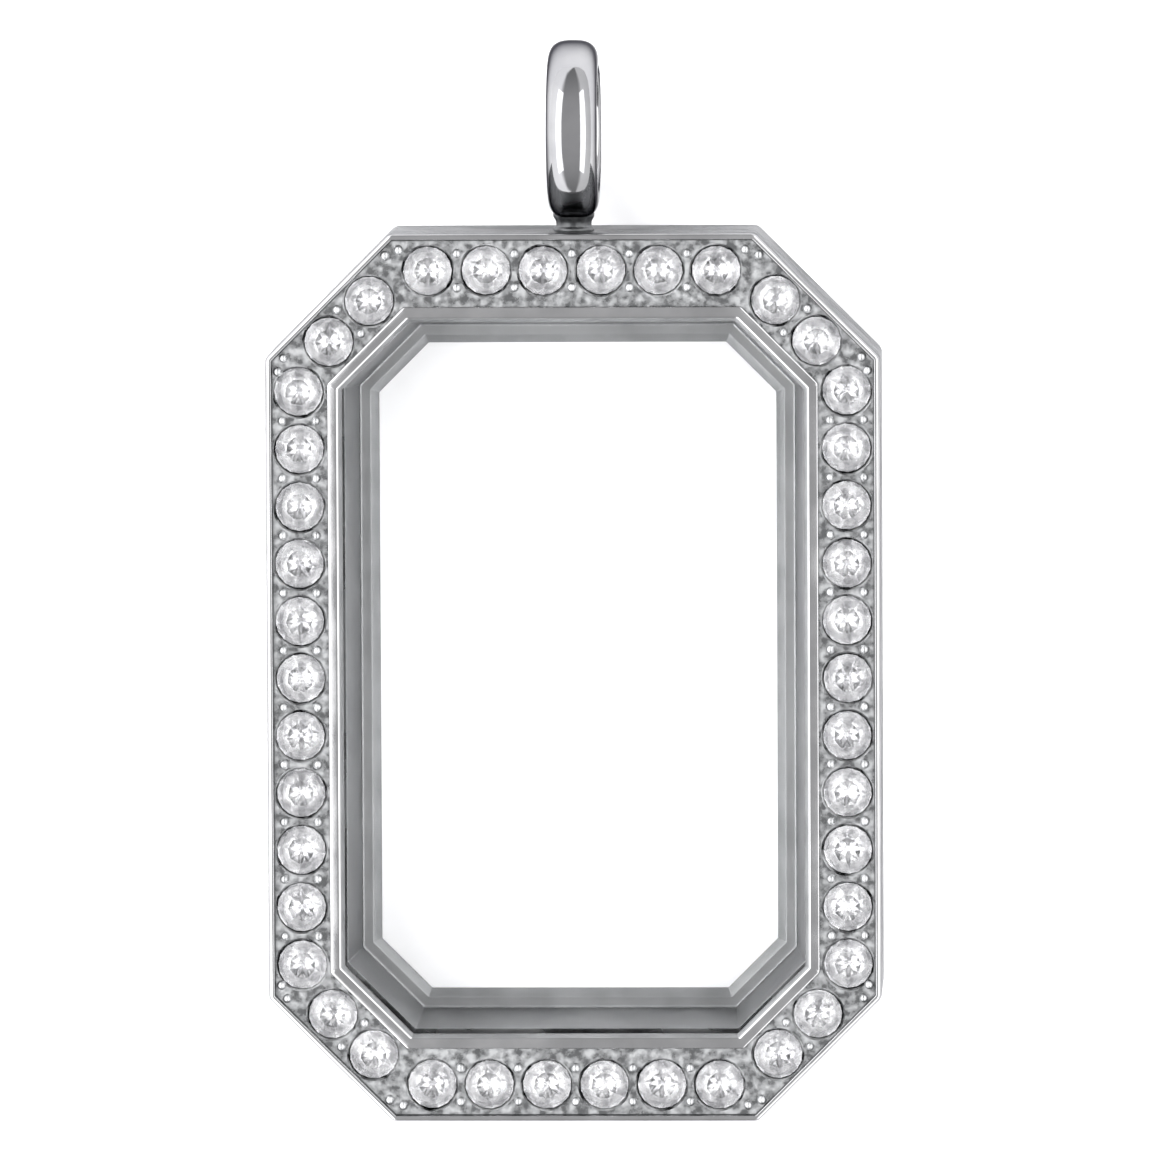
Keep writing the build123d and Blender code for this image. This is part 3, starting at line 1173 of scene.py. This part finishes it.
@dataclass
class CrystalBorder:
    """The round brilliants, each glass above and foiled below its girdle."""

    form: LocketForm
    table_radius: float = 0.55
    crown_height: float = 0.32
    girdle_height: float = 0.06
    star: tuple[float, float] = (0.80, 0.215)
    pavilion_break: tuple[float, float] = (0.42, 0.565)
    pavilion_depth: float = 0.80
    sides: int = 8
    tilt: float = 3.0
    drift: float = 0.02
    seed: int = 11

    def brilliant(self) -> list[Shell]:
        """One brilliant about its girdle's middle, in flat facets.

        Points stand on rings: the table, the star tips, the girdle's two edges,
        the pavilion's break and the point. Facets join ring to ring: table,
        stars, kites cut in halves, upper halves, girdle, lower halves, mains.

        Returns:
            The crown's facets and the foiled ones.
        """
        n = self.sides

        def ring(radius: float, z: float, count: int, start: float) -> np.ndarray:
            """Points round a circle, the first at start steps of a turn."""
            angle = (np.arange(count) + start) * FULL_TURN / count
            x, y = radius * np.cos(angle), radius * np.sin(angle)
            return np.stack([x, y, np.full(count, z)], axis=-1)

        radius = self.form.crystal_radius
        top = self.girdle_height
        points = np.concatenate(
            [
                ring(self.table_radius, top + self.crown_height, n, 0.0),
                ring(self.star[0] * radius, self.star[1], n, 0.5),
                ring(radius, top, 2 * n, 0.0),
                ring(radius, 0.0, 2 * n, 0.0),
                ring(self.pavilion_break[0] * radius, -self.pavilion_break[1], n, 0.5),
                [[0.0, 0.0, -self.pavilion_depth]],
            ]
        )
        i = np.arange(n)
        table, table_next = i, (i + 1) % n
        star, star_last = n + i, n + (i - 1) % n
        low = 2 * n
        even, odd = low + 2 * i, low + 2 * i + 1
        after = low + (2 * i + 2) % low
        cut, cut_last = 6 * n + i, 6 * n + (i - 1) % n
        point = np.full(n, 7 * n)
        crown = [
            (table, star, table_next),
            (table, star_last, even),
            (table, even, star),
            (star, even, odd),
            (star, odd, after),
        ]
        pavilion = [
            (even + low, cut, odd + low),
            (odd + low, cut, after + low),
            (even + low, cut_last, point),
            (even + low, point, cut),
        ]
        girdle = [
            (even, even + low, odd + low, odd),
            (odd, odd + low, after + low, after),
        ]

        def facets(groups: list[tuple[np.ndarray, ...]]) -> np.ndarray:
            """One row of point indices for each facet of each group."""
            return np.concatenate([np.stack(group, axis=-1) for group in groups])

        return [
            Shell(points, i[None, :], 0, False),
            Shell(points, facets(crown), 0, False),
            Shell(points, facets(girdle), 0, False),
            Shell(points, facets(pavilion), 1, False),
        ]

    def build(self) -> None:
        """Set a brilliant in each seat, turned and tilted a little."""
        rng = np.random.default_rng(self.seed)
        cut = self.brilliant()
        number = 0
        for run in self.form.crystal_runs():
            for x, y in run:
                number += 1
                turn = Matrix.Rotation(rng.uniform(0.0, FULL_TURN), 3, "Z")
                lean = math.radians(rng.uniform(0.0, self.tilt))
                way = rng.uniform(0.0, FULL_TURN)
                hinge = Vector((math.cos(way), math.sin(way), 0.0))
                placed = np.array(Matrix.Rotation(lean, 3, hinge) @ turn)
                seat = np.array([x, y, self.form.girdle_z])
                seat[:2] += rng.uniform(-self.drift, self.drift, 2)
                shells = [
                    Shell(s.points @ placed.T + seat, s.faces, s.finish, False)
                    for s in cut
                ]
                make_piece(
                    f"brilliant_{number:02d}",
                    shells,
                    [CUT_CRYSTAL, SILVER_FOIL],
                    Body.COVER,
                    Slot.CRYSTAL,
                    f"crystal_{number:02d}",
                )


@dataclass
class CaseFrame:
    """The case's metal: wall, cavity, flange, rear window, relief and knuckles."""

    form: LocketForm
    hinge: HingeForm
    cavity_step: float = 0.04
    cavity_taper: float = 0.41
    flange_land: float = 0.45
    flange_bevel: tuple[float, float] = (0.35, 0.30)
    flange_thickness: float = 0.45
    back_edge: float = 0.35
    relief_rows: int = 12
    relief_start: float = 0.06
    run_steps: int = 24
    round_steps: int = 4

    def relieve(self, rings: np.ndarray) -> np.ndarray:
        """Cut the hinge's round relief into the left wall.

        On the outer wall, rows from the relief's lower edge up are spread
        between the height where the relief starts at that x,
        z = hinge z - sqrt(r^2 - dx^2), and the parting. A point inside the
        relief then moves in to x = hinge x + sqrt(r^2 - dz^2).

        Args:
            rings: Points by profile row and round the case.

        Returns:
            The changed points.
        """
        radius = self.hinge.relief_radius
        hinge_x, _, hinge_z = self.form.hinge
        top = self.form.parting
        x, y, z = np.moveaxis(rings, 2, 0)
        across = x - hinge_x
        start = hinge_z - np.sqrt(np.maximum(radius**2 - across**2, 0.0))
        lowest = hinge_z - math.sqrt(radius**2 - across.min() ** 2)
        outside = (np.abs(across) < radius) & (z > lowest - 1e-6) & (z < top)
        spread = top - (top - z) / (top - lowest) * (top - start)
        z = np.where(outside, spread, z)
        depth = radius**2 - (z - hinge_z) ** 2
        inside = (across**2 < depth - 1e-4) & (across < radius)
        x = np.where(inside, hinge_x + np.sqrt(np.maximum(depth, 0.0)), x)
        return np.stack([x, y, z], axis=-1)

    def wall(self) -> Shell:
        """The case's body, as one closed profile carried round the outline.

        It runs out over the parting, down the outside, in below, up the rear
        window, out over the flange and up the tapered cavity.

        Returns:
            The closed surface.
        """
        form = self.form
        hinge_x, _, hinge_z = form.hinge
        reach = form.outer.half_width + hinge_x
        relief_z = hinge_z - math.sqrt(self.hinge.relief_radius**2 - reach**2)
        top_inset = form.window_inset + self.cavity_step
        floor_inset = top_inset + self.cavity_taper
        flange_inset = floor_inset + self.flange_land
        mouth = form.lip_inset(top_inset)
        foot = form.lip_inset(floor_inset)
        flange = form.lip_inset(flange_inset)
        window = form.lip_inset(flange_inset + self.flange_bevel[0])
        flange_z = self.flange_thickness
        edge = form.outline_radius
        first_z = form.parting - self.relief_start
        # Columns: side, end, height, corner radius, rounding.
        upper = [
            (0.0, 0.0, z, edge, 0.0)
            for z in np.linspace(first_z, relief_z, self.relief_rows)
        ]
        table = np.array(
            [
                (*mouth, form.parting, 0.10, 0.02),
                (0.0, 0.0, form.parting, edge, 0.05),
                *upper,
                (0.0, 0.0, 0.0, edge, self.back_edge),
                (*window, 0.0, 0.10, 0.05),
                (*window, flange_z - self.flange_bevel[1], 0.10, 0.03),
                (*flange, flange_z, 0.10, 0.03),
                (*foot, flange_z, 0.12, 0.10),
            ]
        )
        profile = soften(table[:, :4], table[:, 4], self.round_steps, closed=True)
        sweep = Sweep(form.outer, run_steps=self.run_steps)
        rings = self.relieve(sweep.rings(profile))
        # The cavity's rows get the darker satin steel and the outside's and the
        # parting's rows the darker brushed steel: both paint the shade there.
        inside = (profile[:, 0] > mouth[0] - 1e-3) & (profile[:, 2] > 1e-3)
        side = (profile[:, 0] < 0.01) | (profile[:, 2] > form.parting - 0.01)
        rows = [inside | np.roll(inside, -1), side & np.roll(side, -1)]
        finish = np.repeat(np.select(rows, [1, 2], 0), rings.shape[1])
        return skin(rings, True, True, finish)

    def build(self) -> None:
        """Make the case's metal in place of its node."""
        hinge = self.form.hinge
        step = self.hinge.knuckle_length + self.hinge.knuckle_gap
        rise = self.form.parting - hinge[2] - self.hinge.headroom
        shells = [self.wall()]
        for shift in (-step, step):
            shells.append(self.hinge.case_knuckle(hinge, shift, rise))
        finishes = [BUFFED_STEEL, SHADED_SATIN_STEEL, SHADED_BRUSHED_STEEL]
        name, node = "case_frame", "back_frame"
        make_piece(name, shells, finishes, Body.CASE, Slot.STEEL, node)


@dataclass
class Bail:
    """The chain ring on its short neck."""

    form: LocketForm
    bore_radius: float = 2.50
    outer_round: float = 0.90
    inner_round: float = 0.22
    neck_radius: float = 0.73
    neck_flare: float = 0.12
    ring_sides: int = 128
    neck_sides: int = 48
    round_steps: int = 8

    def ring(self) -> Shell:
        """The ring: a D-shaped section turned round X."""
        low, high = node_box("bail")
        half_width = high[0]
        radius = (high[2] - low[2]) / 2
        # Columns: place along X, radius.
        section = np.array(
            [
                (-half_width, radius),
                (half_width, radius),
                (half_width, self.bore_radius),
                (-half_width, self.bore_radius),
            ]
        )
        rounding = np.array([self.outer_round] * 2 + [self.inner_round] * 2)
        profile = soften(section, rounding, self.round_steps, closed=True)
        centre = np.array([0.0, high[1] - radius, radius])
        return lathe(profile, 0, centre, self.ring_sides, closed=True)

    def neck(self) -> Shell:
        """The neck: a short bar turned round Y, flared where it meets the case."""
        low, high = node_box("bail")
        radius = (high[2] - low[2]) / 2
        case_top = node_box("back_frame")[1][1]
        ring_foot = high[1] - 2 * radius
        wide = self.neck_radius + self.neck_flare
        # Columns: place along Y, radius.
        table = np.array(
            [
                (case_top - 0.20, 1e-3),
                (case_top - 0.20, wide),
                (case_top + 0.06, wide),
                (case_top + 0.16, self.neck_radius),
                (ring_foot - 0.10, self.neck_radius),
                (ring_foot + 0.10, wide),
                (ring_foot + 0.50, wide),
                (ring_foot + 0.50, 1e-3),
            ]
        )
        rounding = np.array([0.0, 0.0, 0.06, 0.05, 0.08, 0.05, 0.0, 0.0])
        profile = soften(table, rounding, self.round_steps, closed=False)
        centre = np.array([0.0, 0.0, radius])
        return lathe(profile, 1, centre, self.neck_sides, closed=False)

    def build(self) -> None:
        """Make the bail in place of its node."""
        neck = self.neck()
        # The neck gets the dark dull steel: painted shade in the crevice under the
        # ring.
        neck.finish = 1
        shells, finishes = [self.ring(), neck], [MIRROR_STEEL, SHADED_DULL_STEEL]
        make_piece("bail_ring", shells, finishes, Body.CASE, Slot.STEEL, "bail")


@dataclass
class Windows:
    """The two panes and the hinge's pin, which keep their CAD shapes."""

    panes: tuple[str, str] = ("front_glass", "back_glass")
    pin: str = "hinge_pin"

    def build(self) -> None:
        """Dress the panes and the pin."""
        for pane in self.panes:
            dress_node(pane, WINDOW_GLASS)
            # Clear panes shade next to nothing, and their shadows take long to draw.
            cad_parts[pane].visible_shadow = False
        dress_node(self.pin, BUFFED_STEEL)


@dataclass(frozen=True)
class Softbox:
    """An area light: where it stands, its length along Y, its width and its watts."""

    name: str
    place: tuple[float, float, float]
    size: tuple[float, float]
    watts: float


@dataclass(frozen=True)
class SoftSky:
    """The light tent round the locket, as greys by direction.

    It runs from horizon, at the side, to overhead, straight up. Two long walls
    beside it add their strengths: for a direction (x, y, z), x over the length
    of (x, z) goes from the first of near, no wall, to the second, all wall.
    """

    horizon: float = 0.55
    overhead: float = 1.05
    walls: tuple[float, float] = (2.3, 1.2)
    near: tuple[float, float] = (0.30, 0.60)

    def world(self) -> bpy.types.World:
        """Make the world, wired from its direction vector.

        Returns:
            The world.
        """
        made = bpy.data.worlds.new("light tent")
        made.use_nodes = True
        tree = made.node_tree
        way = add_node(tree, "ShaderNodeTexCoord").outputs["Generated"]
        parts = add_node(tree, "ShaderNodeSeparateXYZ", inputs={"Vector": way})
        flat = {"X": parts.outputs["X"], "Z": parts.outputs["Z"]}
        across = add_node(tree, "ShaderNodeCombineXYZ", inputs=flat).outputs[0]
        to_unit = {"operation": "NORMALIZE"}
        lean = add_node(tree, "ShaderNodeVectorMath", to_unit, {0: across}).outputs[0]
        beside = add_node(tree, "ShaderNodeSeparateXYZ", inputs={"Vector": lean})
        smooth = {"interpolation_type": "SMOOTHSTEP"}
        rise = {
            "Value": parts.outputs["Z"],
            "To Min": self.horizon,
            "To Max": self.overhead,
        }
        grey = add_node(tree, "ShaderNodeMapRange", smooth, rise).outputs[0]
        for side, strength in zip((-1.0, 1.0), self.walls):
            wall = {
                "Value": beside.outputs["X"],
                "From Min": side * self.near[0],
                "From Max": side * self.near[1],
                "To Max": strength,
            }
            lit = add_node(tree, "ShaderNodeMapRange", smooth, wall).outputs[0]
            plus = {"operation": "ADD"}
            grey = add_node(tree, "ShaderNodeMath", plus, {0: grey, 1: lit}).outputs[0]
        background = tree.nodes["Background"]
        background.inputs["Color"].default_value = linear("FCFCFD")
        tree.links.new(grey, background.inputs["Strength"])
        return made


@dataclass
class Studio:
    """The floor, the soft light and the camera, in metres; film and lens in mm."""

    floor_half: float = 1.5
    film_width: float = 36.0
    nearest: float = 0.01
    camera_place: tuple[float, float, float] = (0.02094, 0.04837, 0.60375)
    camera_turn: tuple[float, float, float] = (-4.61, 1.955, -0.11)
    lens: float = 448.31
    bounces: tuple[tuple[str, int], ...] = (
        ("max_bounces", 6),
        ("diffuse_bounces", 2),
        ("glossy_bounces", 3),
        ("transmission_bounces", 6),
    )
    sky: SoftSky = field(default_factory=SoftSky)
    softboxes: list[Softbox] = field(
        default_factory=lambda: [
            Softbox("left softbox", (-0.50, 0.0, 0.74), (2.2, 0.45), 10.0),
            Softbox("right softbox", (0.50, 0.0, 0.74), (2.2, 0.45), 9.4),
        ]
    )

    def floor(self) -> None:
        """Lay the white card under the locket."""
        half = self.floor_half / MM
        points = np.array([[-half, -half, 0.0], [half, -half, 0.0]])
        points = np.concatenate([points, -points])
        shell = Shell(points, np.array([[0, 1, 2, 3]]), 0, False)
        floor = bpy.data.objects.new("floor", make_mesh("floor", [shell], [WHITE_CARD]))
        bpy.context.scene.collection.objects.link(floor)

    def lights(self) -> None:
        """Set the sky and the softboxes, aimed at the locket."""
        bpy.context.scene.world = self.sky.world()
        for box in self.softboxes:
            light = bpy.data.lights.new(box.name, "AREA")
            light.shape = "RECTANGLE"
            light.size, light.size_y = box.size
            light.energy = box.watts
            lamp = bpy.data.objects.new(box.name, light)
            lamp.location = box.place
            aim = (-Vector(box.place)).to_track_quat("-Z", "Y")
            lamp.rotation_euler = aim.to_euler()
            bpy.context.scene.collection.objects.link(lamp)

    def camera(self) -> None:
        """Stand the camera at the photograph's angle, turned about X, Y, then Z."""
        place = Vector(self.camera_place)
        turned = Matrix.Identity(3)
        for degrees, axis in zip(self.camera_turn, "XYZ"):
            turned = turned @ Matrix.Rotation(math.radians(degrees), 3, axis)
        data = bpy.data.cameras.new("camera")
        data.lens = self.lens
        data.sensor_width = self.film_width
        data.clip_start = self.nearest
        camera = bpy.data.objects.new("camera", data)
        camera.matrix_world = Matrix.Translation(place) @ turned.to_4x4()
        bpy.context.scene.collection.objects.link(camera)
        bpy.context.scene.camera = camera

    def light_paths(self) -> None:
        """End each light path after a few bounces, which the stones don't show."""
        for limit, count in self.bounces:
            setattr(bpy.context.scene.cycles, limit, count)

    def build(self) -> None:
        """Set up the floor, the lights, the camera, light paths and plain colours."""
        self.floor()
        self.lights()
        self.camera()
        self.light_paths()
        bpy.context.scene.view_settings.view_transform = "Standard"
        LOG.info("studio: floor, %d softboxes, camera", len(self.softboxes))


def main() -> None:
    """Build the locket piece by piece, then the studio."""
    logging.basicConfig(level=logging.INFO, format="%(name)s: %(message)s")
    form = LocketForm()
    hinge = HingeForm()
    CaseFrame(form, hinge).build()
    Bail(form).build()
    CoverFrame(form, hinge).build()
    CrystalBorder(form).build()
    Windows().build()
    Studio().build()


if __name__ == "__main__":
    main()
